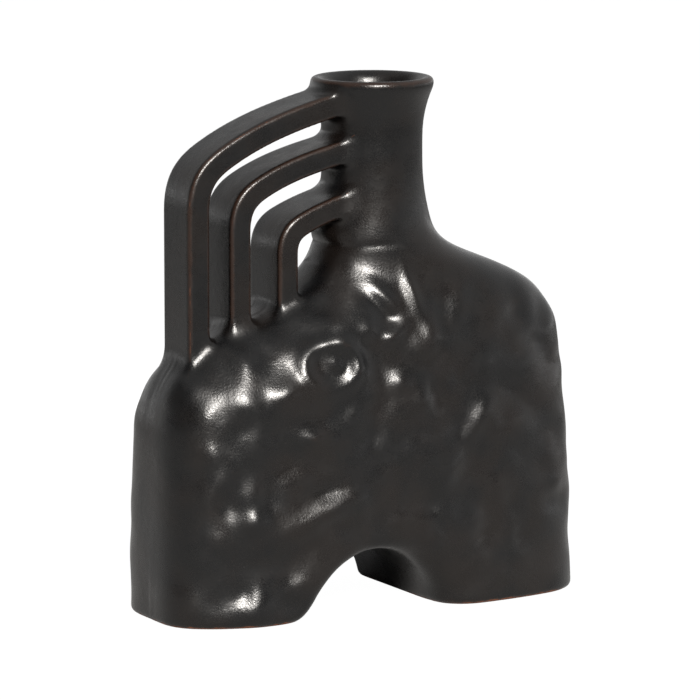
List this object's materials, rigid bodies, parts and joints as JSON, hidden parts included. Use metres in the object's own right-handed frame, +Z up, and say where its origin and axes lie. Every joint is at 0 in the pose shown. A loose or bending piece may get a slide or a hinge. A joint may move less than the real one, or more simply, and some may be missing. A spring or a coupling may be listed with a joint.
{
  "type": "arched two-footed clay vase",
  "caption": "Tall flat-sided black glazed clay vase on feet with a tunnel between them, an off-centre flared neck and nested arches from the neck to one shoulder.",
  "frame": {"origin": "centre of the bounding box's bottom, on the surface the vase stands on", "axes": "+Z up, +X towards the plain shoulder, -Y the front"},
  "size_m": [0.256, 0.104, 0.29],
  "materials": {
    "black_glaze": "satin black glaze with a bronze sheen, soft broad highlights, breaking to red-brown clay on thin edges",
    "bare_clay": "unglazed red-brown fired clay under the feet, matte and slightly gritty"
  },
  "bodies": {
    "root": {"body_front_half": "black_glaze", "body_back_half": "black_glaze", "tunnel_arch": "black_glaze", "foot_plate_left": "bare_clay", "foot_plate_right": "bare_clay", "neck": "black_glaze", "arch_outer": "black_glaze", "arch_middle": "black_glaze", "arch_inner": "black_glaze"}
  },
  "joints": []
}
